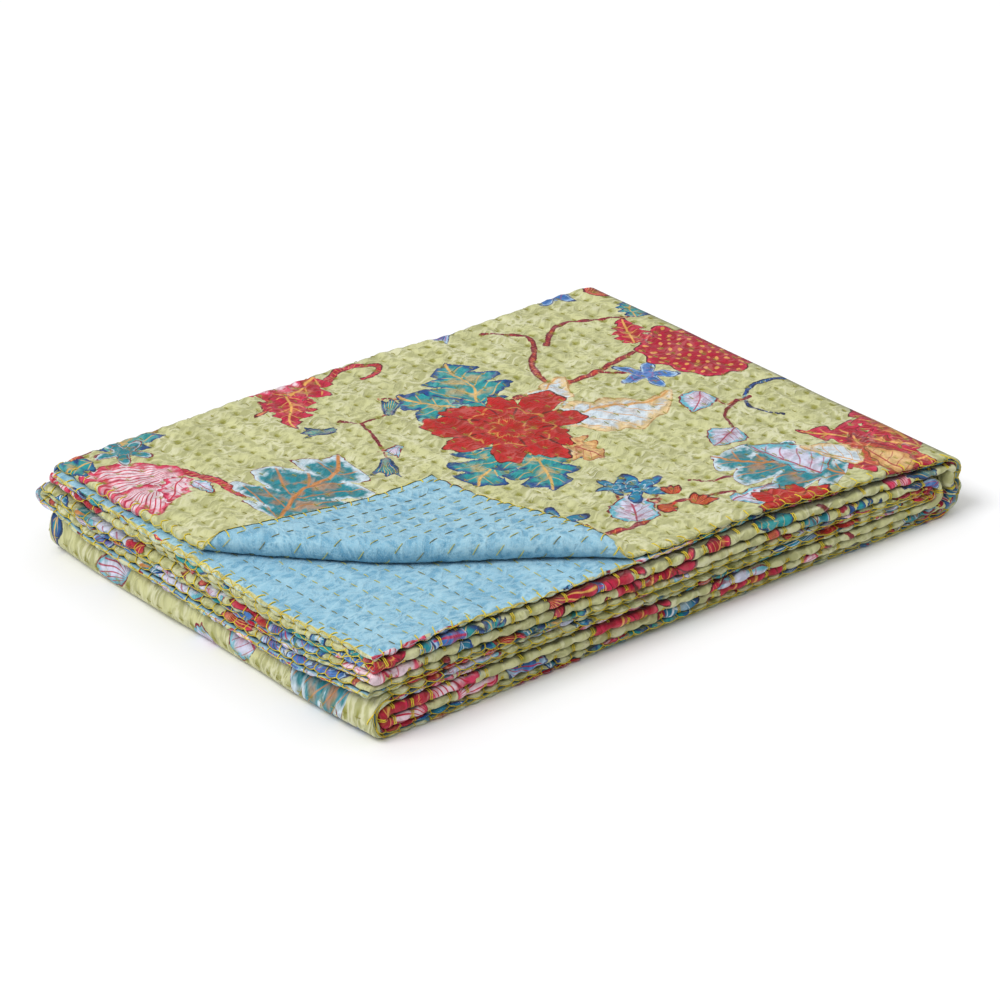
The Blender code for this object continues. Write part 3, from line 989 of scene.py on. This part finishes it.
def print_on(piece, flat):
    """Give every face corner the distance, the place and the inks of its motif."""
    mesh = piece.data
    points, sizes = corners_of(mesh)
    starts = np.cumsum(sizes) - sizes
    face_of = np.repeat(np.arange(len(sizes)), sizes)
    corner = flat[points]
    middle = np.add.reduceat(corner, starts) / sizes[:, None]
    reach = np.maximum.reduceat(np.linalg.norm(corner - middle[face_of], axis=1), starts) + 0.0002
    edge, depth = np.full(len(points), 50.0), np.zeros(len(points))
    place = np.zeros((len(points), 3))
    ground = np.tile(linear(GROUND), (len(points), 1))
    inks = {part: ground.copy() for part in INK_PARTS}
    drawings = [(stem, in_stem, "stem", 0.02, np.mean(stem.places, axis=0)) for stem in STEMS]
    motifs_drawn = MOTIFS + SPRIGS + LONE_MOTIFS
    drawings += [(motif, in_motif, motif.shape, motif.size, motif[1:3]) for motif in motifs_drawn]
    for drawing, work_out, kind, size, at in drawings:
        wraps = 0 if drawing in SPRIGS + LONE_MOTIFS else 1
        shift = np.round((middle - at) / np.array(REPEAT)) * np.array(REPEAT) * wraps
        own = np.array(at) + shift
        in_plain = np.all((own > PLAIN_FROM) & (own < PLAIN_TO), axis=1)
        near = (work_out(drawing, middle - shift)[0] < reach) & ~(in_plain & (wraps == 1))
        chosen = np.flatnonzero(near[face_of])
        away, x, y = work_out(drawing, corner[chosen] - shift[face_of[chosen]])
        covered = (edge[chosen] < 0)[:, None]
        inks["under"][chosen] = np.where(covered, inks["body"][chosen], inks["under"][chosen])
        edge[chosen], depth[chosen] = away * 1000, -away / size
        place[chosen] = np.stack([x, y, np.full(len(x), STYLES.get(kind, LEAFY))], axis=1)
        for part, code in INKS[drawing.ink]._asdict().items():
            inks[part][chosen] = linear(code)
    layers = {"motif_edge": edge, "motif_depth": depth, "motif_place": place}
    layers.update({"ink_" + part: colours for part, colours in inks.items()})
    for name, values in layers.items():
        write(mesh, name, "CORNER", values)
    return float(np.mean(edge < 0))


share = print_on(face_cloth, face_flat)
print(f"motifs cover {share:.0%} of the mesh's corners")

# %% [markdown]
# ## Writing a material as sums
# A material's pattern is a few sums on the cloth's own map. Written as sums they are easy
# to read, so a small class wraps a socket: adding or multiplying two of them adds a Math
# node. Colours go through Mix nodes, because a Math node would turn them grey.

# %% A socket that can be added and multiplied
class Value:
    """A node's output, used in sums as a number is."""

    def __init__(self, finish, socket):
        self.finish, self.socket = finish, socket

    def math(self, operation, *others):
        return self.finish.node("Math", {"operation": operation}, dict(enumerate((self, *others))))

    def __add__(self, other):
        return self.math("ADD", other)

    def __sub__(self, other):
        return self.math("SUBTRACT", other)

    def __rsub__(self, other):
        return self.math("MULTIPLY_ADD", -1, other)

    def __mul__(self, other):
        return self.math("MULTIPLY", other)

    def __truediv__(self, other):
        return self.math("DIVIDE", other)

    def __abs__(self):
        return self.math("ABSOLUTE")

    def to_line(self, period=1.0):
        """The distance to the nearest whole number of periods."""
        return self.math("PINGPONG", period / 2)

    def between(self, low, high, start=0, stop=1):
        """A soft step from start to stop as the value goes from low to high."""
        limits = {"Value": self, "From Min": low, "From Max": high, "To Min": start, "To Max": stop}
        return self.finish.node("MapRange", {"interpolation_type": "SMOOTHSTEP"}, limits)


class Finish:
    """A material and the few ways in which its nodes are added."""

    def __init__(self, name, **constants):
        self.material = bpy.data.materials.new(name)
        self.material.use_nodes = True
        self.tree = self.material.node_tree
        self.shader = self.tree.nodes["Principled BSDF"]
        self.put(**constants)

    def node(self, kind, settings, sockets, output=0):
        """Add a node, set it, fill or link its sockets, and return one of its outputs."""
        made = self.tree.nodes.new("ShaderNode" + kind)
        for name, setting in settings.items():
            setattr(made, name, setting)
        for name, value in sockets.items():
            self.fill(made.inputs[name], value)
        return Value(self, made.outputs[output])

    def fill(self, socket, value):
        if isinstance(value, Value):
            self.tree.links.new(value.socket, socket)
        else:
            socket.default_value = value

    def read(self, name, output="Fac"):
        return self.node("Attribute", {"attribute_name": name}, {}, output)

    def noise(self, place, scale, detail=2.0):
        sockets = {"Vector": place, "Scale": scale, "Detail": detail}
        return self.node("TexNoise", {"noise_dimensions": "2D"}, sockets)

    def parts(self, vector):
        """The X, Y and Z of a vector."""
        first = self.node("SeparateXYZ", {}, {"Vector": vector})
        return [Value(self, output) for output in first.socket.node.outputs]

    def mix(self, share, first, second, blend="MIX"):
        """Mix two colours."""
        settings = {"data_type": "RGBA", "blend_type": blend}
        return self.node("Mix", settings, {0: share, 6: first, 7: second}, 2)

    def put(self, **sockets):
        """Set or link sockets of the shader, named with _ for a space."""
        for name, value in sockets.items():
            self.fill(self.shader.inputs[name.replace("_", " ")], value)

    def on(self, *pieces):
        """Give the material to pieces."""
        for piece in pieces:
            piece.data.materials.append(self.material)
        names = [piece.name for piece in pieces]
        print(self.material.name, "has", len(self.tree.nodes), "nodes, on", names)


def ink(code):
    """The colour of a hexadecimal sRGB code, as a socket takes it."""
    return (*linear(code), 1.0)


# %% [markdown]
# ## Cotton
# Both cloths are thin plain-woven cotton that has been washed. The weave itself is too fine
# to show, so a faint crossed ripple and a slubby noise stand for it. Between the stitches the
# cloth is drawn into sharp little wrinkles: a ridged noise, stretched along the length,
# gives them. They are too fine for the mesh, so they are a bump.

# %% The weave and the wrinkles
DEEPEST_SHADE = 0.24


def cotton(finish, wrinkles):
    """The cloth's place, its wrinkles from 0 to 1, and its bumpy normal."""
    cut = finish.node("UVMap", {"uv_map": "cut"}, {}, "UV")
    across, along, _ = finish.parts(cut)
    sway = finish.noise(cut, 60, 1.0)
    shifted = {"X": across + sway * 0.012, "Y": along * 0.60 + sway * 0.008}
    uneven = finish.node("CombineXYZ", {}, shifted)
    broad = 1 - abs(finish.noise(uneven, 165, 1.0) - 0.5) * 5.0
    fine = 1 - abs(finish.noise(uneven, 420, 1.0) - 0.5) * 4.0
    ridges = (broad * 0.64 + fine * 0.36).between(-0.05, 0.95)
    warp, weft = (across * 3000).math("SINE"), (along * 3000).math("SINE")
    slub = finish.noise(cut, 900, 2.0)
    level = ridges * wrinkles + warp * weft * 0.00003 + slub * 0.00014
    bump = finish.node("Bump", {}, {"Strength": 1.0, "Distance": 1.0, "Height": level}, "Normal")
    return cut, ridges, bump


def in_shade(finish):
    """A painted grey that darkens the cloth between two layers."""
    level = finish.read("shown").between(0, 1, DEEPEST_SHADE, 1)
    return finish.node("CombineColor", {}, {"Red": level, "Green": level, "Blue": level})


# %% [markdown]
# ## The printed cotton
# The print is laid down in the order a printer works: the pale green ground, the body of
# each motif, its rim, the fine drawing inside it, and last the dark outline. Leaves have a
# midrib and side veins, flowers have petals and rays, buds and bells have stripes, and
# fruits have spots. The ink sits a little unevenly. Light and shade are painted over it: the
# ridges of the wrinkles are paler and carry a painted highlight, and their valleys and each
# stitch's dimple take an olive painted shade, which also stands for the sunk thread.

# %% Fine drawing inside the motifs
printed = Finish("printed_cotton", Specular_IOR_Level=0.2, Sheen_Weight=0.12)
cut, ridges, bump = cotton(printed, 0.00062)
edge = printed.read("motif_edge") + printed.noise(cut, 620, 1.0) * 0.7 - 0.35
depth = printed.read("motif_depth")
x, y, style = printed.parts(printed.read("motif_place", "Vector"))
style_numbers = (FLOWER, STRIPED, SPOTTED, STEM, LEAFY)
kinds = [style.math("COMPARE", number, 0.4) for number in style_numbers]
flower, striped, spotted, on_stem, leafy = kinds
away = (x * x + y * y).math("SQRT")
petal = (y.math("ARCTAN2", x) * 4.5 + 0.6) / np.pi
rings = (away * 1.12 + petal.to_line() * 0.22).to_line(0.30)
petal_edges = (petal.to_line() * away).between(0.036, 0.014) * away.between(0.22, 0.40)
rays = (petal * 5).to_line().between(0.09, 0.03) * rings.between(0.09, 0.04)
rays = rays * away.between(0.50, 0.40) * 0.7
leaf_rib = abs(y).between(0.024, 0.008)
leaf_veins = (x * 5.5 - abs(y) * 5.0).to_line().between(0.085, 0.02) * depth.between(0.03, 0.08) * 0.8
streaks = (y.math("ARCTAN2", x + 0.12) * 11).to_line().between(0.20, 0.06)
spots = ((x * 24 + y * 4).math("SINE") * (y * 23).math("SINE")).between(0.45, 0.75) * 0.8
bark = (x * 9 + y * 0.4).to_line().between(0.10, 0.05) * 0.6

# %% The printed face
inks = {part: printed.read("ink_" + part, "Color") for part in INK_PARTS}
pale_rim = (depth + printed.noise(cut, 210, 2.0) * 0.16).between(0.20, 0.10)
drawn = printed.mix(pale_rim, inks["body"], inks["rim"])
blush = depth.between(0.10, 0.28) * leafy * printed.noise(cut, 90, 2.0).between(0.42, 0.60) * 0.60
drawn = printed.mix(blush, drawn, inks["vein"])
veins = flower * rays + leafy * leaf_rib.math("MAXIMUM", leaf_veins) + striped * streaks + spotted * spots
veins = (veins + on_stem * bark) * edge.between(-0.5, -1.3)
drawn = printed.mix(veins.math("MINIMUM", 1), drawn, inks["vein"])
broken = printed.noise(cut, 120, 1.0).between(0.38, 0.50)
petal_folds = striped * abs(abs(y.math("ARCTAN2", x)) - 0.23).between(0.035, 0.012)
petal_folds = petal_folds * x.between(0.15, 0.25)
petal_lines = (flower * petal_edges * broken).math("MAXIMUM", petal_folds)
drawn = printed.mix(petal_lines * 0.8, drawn, inks["line"])
arcs = flower * rings.between(0.026, 0.008) * away.between(0.72, 0.60) * broken
drawn = printed.mix(arcs * 0.7, drawn, inks["vein"])
colour = printed.mix(edge.between(0.12, -0.12), inks["under"], drawn)
outline = abs(edge).between(0.66, 0.36) * printed.noise(cut, 150, 1.0).between(0.30, 0.44)
colour = printed.mix(outline, colour, inks["line"])
press = printed.read("dimple") + (printed.noise(cut, 190, 2.0) - 0.5) * 0.7
# A random tone, with painted light and shade: paler on the wrinkles' ridges, darker in their valleys.
tone = printed.noise(cut, 38, 3.0).between(0.25, 0.75, 0.92, 1.05) * ridges.between(0, 1, 0.86, 1.10)
shade = printed.node("CombineColor", {}, {"Red": tone, "Green": tone, "Blue": tone * 0.96})
colour = printed.mix(1.0, colour, shade, "MULTIPLY")
# Painted shade, olive: in the valleys of the wrinkles and in each stitch's dimple, where the olive also
# stands for thread sunk into the cloth.
hollow_shade_and_thread = (1 - ridges) * 0.20 + press.between(0.10, 0.62) * 0.80
hollow_shade_and_thread = hollow_shade_and_thread.math("MINIMUM", 0.85) * edge.between(-0.4, 0.4, 0.35, 1)
colour = printed.mix(hollow_shade_and_thread, colour, ink("8D8E38"))
# Painted highlight: a pale whitish sheen on the peaks of the wrinkles, mostly on the ground.
ridge_highlight = ridges.between(0.50, 1.0) * printed.noise(cut, 55, 2.0).between(0.42, 0.66)
colour = printed.mix(ridge_highlight * edge.between(-0.4, 0.4, 0.10, 0.36), colour, ink("E2E0CC"))
colour = printed.mix(1.0, colour, in_shade(printed), "MULTIPLY")
printed.put(Base_Color=colour, Normal=bump, Roughness=ridges.between(0, 1, 0.92, 0.82))
printed.on(face_cloth)

# %% [markdown]
# ## The blue backing
# The backing is a plain blue cotton, flatter than the face. Its blue is paler along long,
# thin slanting streaks and a little blotchy. Light and shade are painted on it: a lighter
# blue on the ridges of the wrinkles, a darker blue between them and in each stitch's dimple.

# %% The backing
backing = Finish("blue_cotton", Specular_IOR_Level=0.2, Roughness=0.9, Sheen_Weight=0.12)
cut, ridges, bump = cotton(backing, 0.00042)
across, along, _ = backing.parts(cut)
slanted = {"X": across * 1.3 + along * 0.4, "Y": along * 0.45 - across * 0.2}
long_way = backing.node("CombineXYZ", {}, slanted)
creases = 1 - abs(backing.noise(long_way, 70, 3.0) - 0.5) * 9
# Painted light and shade: a lighter blue on the wrinkles' ridges, a darker blue in their valleys.
blue = backing.mix(ridges, ink("689FBB"), ink("97C4D7"))
blue = backing.mix(creases.between(0.2, 0.9) * 0.40, blue, ink("B4D8E4"))
blue = backing.mix(backing.noise(cut, 24, 4.0).between(0.35, 0.7) * 0.30, blue, ink("6AA3C1"))
fleck = backing.noise(cut, 1300, 1.0).between(0.5, 0.72)
blue = backing.mix(fleck * 0.28, blue, ink("C2DCE4"))
# Painted shade: a darker blue in each stitch's dimple.
blue = backing.mix(backing.read("dimple").between(0.1, 0.9, 0, 0.35), blue, ink("3F7C9A"))
blue = backing.mix(1.0, blue, in_shade(backing), "MULTIPLY")
backing.put(Base_Color=blue, Normal=bump)
backing.on(back_cloth)

# %% [markdown]
# ## The stitches
# The quilting thread is a loosely twisted cotton. Each stitch comes out of the cloth, lies on
# it for three to seven millimetres, and goes back in. All the stitches of one kind are one
# piece: short tubes with four sides, joined. Running stitches are only made where they can
# be seen. A stitch is placed on the flat cloth, and it is folded with it.

# %% Short threads, joined
def thread_piece(name, stitches, thickness, slim=None):
    """Join many short threads, given as arrays of points. Loops of 7 points may be slimmer."""
    curve = bpy.data.curves.new(name, "CURVE")
    curve.dimensions, curve.bevel_depth, curve.bevel_resolution = "3D", thickness / 2, 0
    curve.use_fill_caps = True
    for line in stitches:
        line[:, 2] = np.maximum(line[:, 2], thickness / 2)
        spline = curve.splines.new("POLY")
        spline.points.add(len(line) - 1)
        spline.points.foreach_set("co", np.hstack([line, np.ones((len(line), 1))]).ravel())
        spline.points.foreach_set("radius", np.full(len(line), slim if slim and len(line) == 7 else 1.0))
    form = bpy.data.objects.new(name + "_form", curve)
    mesh = bpy.data.meshes.new_from_object(form)
    bpy.data.objects.remove(form)
    mesh.shade_smooth()
    return cloth_piece(name, mesh, f"{len(stitches)} stitches")


def lay(across, length, side, lift):
    """Points of stitches on one cloth, a little over it. All arrays have a row for each stitch."""
    half, _ = puff(across.ravel(), length.ravel(), side)
    rise = side * (half + lift.ravel())
    return fold(across.ravel(), length.ravel(), rise).reshape(*across.shape, 3)


# %% Running stitches
RUNNING = np.array([-0.5, -0.38, 0.0, 0.38, 0.5])
FIRST_STITCH = 0.005
RUNNING_LIFT = np.array([-0.00040, 0.00018, 0.00038, 0.00018, -0.00040])


def running_places(side):
    """The middle of every stitch on one cloth: the row, the distance across and along."""
    rows = np.arange(int(CUT_LENGTH / ROW_PITCH))
    counts = np.arange(1, int(CUT_WIDTH / STITCH_PITCH) + 1) + (0 if side > 0 else 0.5)
    row, count = (part.ravel() for part in np.meshgrid(rows, counts, indexing="ij"))
    across = (count - ROW_SHIFTS[row]) * STITCH_PITCH
    for _ in range(3):
        across = (count - ROW_SHIFTS[row] - stitch_slip(across, row)) * STITCH_PITCH
    return row, across, (row + 0.5) * ROW_PITCH + ROW_DRIFTS[row] * noise(across / 0.07, row * 1.7, 21)


def running_stitches(side, shows, sizes, over=0.0, strands=(0.0,)):
    """The stitches of one cloth where it shows, and their rows. Strands lie side by side."""
    row, across, length = running_places(side)
    to_hem, _ = from_hem(across, length)
    keep = (to_hem > FIRST_STITCH) & shows(across, length)
    row, across, length = row[keep], across[keep], length[keep]
    size = np.random.default_rng(6).uniform(*sizes, len(row))[:, None]
    slant = np.random.default_rng(7).uniform(-0.12, 0.12, len(row))[:, None]
    shift = RUNNING[None, :] * size
    lift = np.broadcast_to(RUNNING_LIFT, shift.shape) + over
    across, length = across[:, None] + shift, length[:, None] + shift * slant
    lines = [lay(across, length + beside, side, lift) for beside in strands]
    return np.concatenate(lines), np.tile(row, len(strands))


def top_shows(across, length):
    inner = (across > 0.010) & (across < WIDTH_ENDS[1] - 0.004) & (length < LENGTH_ENDS[1] - 0.006)
    return on_panel(across, length) & ~is_flap(across * 1.12, length * 1.12) & inner


def rolls_show(across, length):
    return np.abs(across - CUT_WIDTH / 2) < 0.012


def ends_show(across, length):
    at_side, at_front = near_edge(length, LENGTH_PATH, 0.012), near_edge(across, WIDTH_PATH, 0.010)
    edges = np.maximum(at_side, at_front) > 0.01
    return edges & ~top_shows(across, length) & ~rolls_show(across, length)


SHORT, LONG = (0.0034, 0.0048), (0.0050, 0.0066)
STRANDS = (-0.0006, 0.0006)
on_top, _ = running_stitches(FACE, top_shows, SHORT)
on_rolls, _ = running_stitches(FACE, rolls_show, LONG, 0.00045, STRANDS)
on_ends, _ = running_stitches(FACE, ends_show, (0.0034, 0.0050), 0.00020)
on_back, back_rows = running_stitches(BACKING, blue_shows, LONG)
dark = back_rows % 5 == 1
top_stitches = thread_piece("top_running_stitches", np.concatenate([on_top, on_ends]), 0.00048)
side_stitches = thread_piece("side_running_stitches", on_rolls, 0.00070)
back_stitches = thread_piece("backing_running_stitches", on_back[~dark], 0.00058)
dark_stitches = thread_piece("olive_running_stitches", on_back[dark], 0.00056)

# %% [markdown]
# The hems are closed with a whip stitch: the thread goes over the rim at a slant, through,
# and along the rim's lower edge to the next stitch, in a small loop. It draws the edge into
# scallops.

# %% Whip stitches over every hem
WHIP_IN = np.array([0.0054, 0.0044, 0.0030, 0.0, 0.0, 0.0, 0.0030, 0.0044, 0.0054])
WHIP_ANGLE = np.radians([90, 90, 90, 60, 0, -60, -90, -90, -90])
WHIP_LIFT = np.array([-0.0004, 0.00028, 0.00034, 0.00034, 0.00034, 0.00034, 0.00034, 0.00028, -0.0004])
LOOP_ANGLE = np.radians([8, -24, -44, -52, -44, -24, 8])
LOOPS_KEPT = 0.70


def round_hem(along, inward, angle, lift, along_length, at_end):
    """Points round one hem: at an angle on its rim, or inward of it on the face or the backing."""
    other = CUT_WIDTH if along_length else CUT_LENGTH
    inward = np.where(inward > 0, inward, HEM_ROUND - (HEM_ROUND + lift) * np.cos(angle))
    inward = other - inward if at_end else inward
    across, length = (inward, along) if along_length else (along, inward)
    spread = np.broadcast_arrays(across, length, angle, lift)
    across, length, angle, lift = (part.ravel() for part in spread)
    above, _ = puff(across, length, FACE)
    below, _ = puff(across, length, BACKING)
    rise = (np.where(angle > 0, above, below) + lift) * np.sin(angle)
    return fold(across, length, rise).reshape(*along.shape, 3)


def whip_stitches(along_length, at_end):
    """The stitches and the loops of one hem: along the length or the width, at its start or end."""
    whole = CUT_LENGTH if along_length else CUT_WIDTH
    counts = np.arange(1, int(whole / WHIP_PITCH))[:, None]
    nips = counts * WHIP_PITCH
    for _ in range(4):
        nips = (counts - whip_slip(nips)) * WHIP_PITCH
    chance = np.random.default_rng(8)
    slant = chance.uniform(-0.0015, 0.0075, nips.shape)
    along = nips + slant * np.linspace(-0.5, 0.5, 9)
    inward = np.broadcast_to(WHIP_IN, along.shape) * chance.uniform(0.85, 1.15, nips.shape)
    whips = round_hem(along, inward, WHIP_ANGLE, WHIP_LIFT, along_length, at_end)
    between = nips[:-1] + (nips[1:] - nips[:-1]) * np.linspace(0, 1, 7)
    sag = LOOP_ANGLE * chance.uniform(0.55, 1.25, nips[:-1].shape)
    loops = round_hem(between, np.zeros(7), sag, 0.00036, along_length, at_end)
    return [*whips, *loops[chance.uniform(0, 1, len(loops)) < LOOPS_KEPT]]


hem_lines = []
for along_length in (True, False):
    hem_lines += whip_stitches(along_length, False) + whip_stitches(along_length, True)
hem_stitches = thread_piece("hem_whip_stitches", hem_lines, 0.00086, slim=0.62)

# %% [markdown]
# ## The thread's finish
# The thread is a soft yellow on the blue and on the hems, and a duller olive where it has
# sunk into the green. Its twist is a fine slanting ripple, and its colour is uneven, since
# the yarn was dyed in hanks.

# %% Yellow and olive thread
def thread(name, pale, deep, pieces):
    finish = Finish(name, Roughness=0.75, Specular_IOR_Level=0.25, Sheen_Weight=0.2)
    place = finish.node("TexCoord", {}, {}, "Object")
    ripple = {"Vector": place, "Scale": 620, "Distortion": 3.0}
    twist = finish.node("TexWave", {"bands_direction": "DIAGONAL"}, ripple)
    hank = finish.node("TexNoise", {}, {"Vector": place, "Scale": 160, "Detail": 2.0})
    colour = finish.mix(hank.between(0.35, 0.65), ink(pale), ink(deep))
    colour = finish.mix(twist * 0.30, colour, ink(deep))
    slight = {"Strength": 0.7, "Distance": 0.00012, "Height": twist}
    normal = finish.node("Bump", {}, slight, "Normal")
    finish.put(Base_Color=colour, Normal=normal)
    finish.on(*pieces)


thread("yellow_thread", "EEDA3A", "D0B42A", (hem_stitches, side_stitches))
thread("pale_yellow_thread", "CFC766", "B4AC4A", (back_stitches,))
thread("olive_yellow_thread", "ACA348", "8E8830", (top_stitches,))
thread("dark_olive_thread", "8F894C", "716C36", (dark_stitches,))

# %% [markdown]
# ## Floor, light and camera
# A plain white floor, an even sky and two broad lamps, one from the left and one overhead,
# give the soft light of a studio sweep, with enough slant to shade the puckers.

# %% The stage and the view
def plain_floor():
    grid = bmesh.new()
    bmesh.ops.create_grid(grid, x_segments=1, y_segments=1, size=8)
    mesh = bpy.data.meshes.new("floor")
    grid.to_mesh(mesh)
    grid.free()
    floor = placed("floor", mesh)
    Finish("floor_paint", Roughness=0.9, Base_Color=(0.94, 0.94, 0.95, 1)).on(floor)


def broad_lamp(name, toward, strength, softness):
    light = bpy.data.lights.new(name, "SUN")
    light.energy, light.angle = strength, np.radians(softness)
    placed(name, light).rotation_euler = Vector(toward).to_track_quat("Z", "Y").to_euler()


plain_floor()
broad_lamp("key", (-0.80, 0.10, 1.00), 1.75, 30)
broad_lamp("overhead", (0.0, 0.0, 1.0), 1.35, 110)
sky = bpy.data.worlds.new("studio")
bpy.context.scene.world = sky
sky.use_nodes = True
sky.node_tree.nodes["Background"].inputs["Color"].default_value = (0.97, 0.98, 1, 1)
sky.node_tree.nodes["Background"].inputs["Strength"].default_value = 0.27
bpy.context.scene.view_settings.view_transform = "Standard"

AIM = Vector((-BOX_MIDDLE[0], -BOX_MIDDLE[1], 0))
CAMERA_AWAY = 2.696
turn, tilt = np.radians(-39.8), np.radians(26.6)
forward = Vector((-np.sin(turn) * np.cos(tilt), np.cos(turn) * np.cos(tilt), -np.sin(tilt)))
lens = bpy.data.cameras.new("camera")
lens.lens, lens.sensor_width, lens.shift_x, lens.shift_y = 159, 36, -0.0020, 0.0333
camera = placed("camera", lens)
camera.location = AIM - forward * CAMERA_AWAY
camera.rotation_euler = (-forward).to_track_quat("Z", "Y").to_euler()
bpy.context.scene.camera = camera
